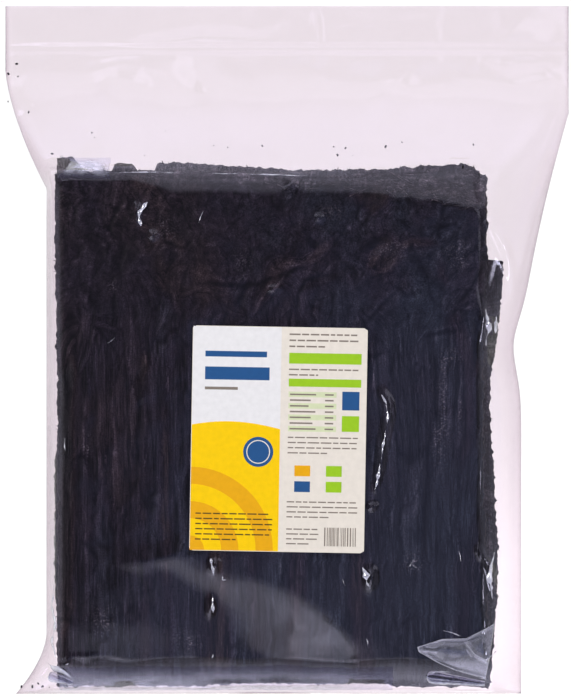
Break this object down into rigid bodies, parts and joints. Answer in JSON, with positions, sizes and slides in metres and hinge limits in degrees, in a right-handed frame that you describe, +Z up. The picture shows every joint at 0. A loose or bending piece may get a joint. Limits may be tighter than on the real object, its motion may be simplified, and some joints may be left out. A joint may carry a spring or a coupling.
{
  "type": "bag of dried wakame",
  "caption": "Clear sealed film bag with an empty flat header, filled with pressed sheets of dark dried wakame, with a rectangular paper label on its face.",
  "frame": {"origin": "centre of the bag's outline, on the floor it lies on", "axes": "+X to the right of the label side, +Y towards the empty header, +Z up out of the label side"},
  "size_m": [0.401, 0.488, 0.0491],
  "materials": {
    "film": "clear glossy polypropylene film with a faint pink-grey tint, over dark pressed wakame",
    "label_paper": "coated label paper, satin, printed in flat colours",
    "wakame": "dried seaweed frond, near black, dull with a faint sheen on its ridges"
  },
  "bodies": {
    "root": {"bag": "film", "label": "label_paper"}
  },
  "joints": []
}
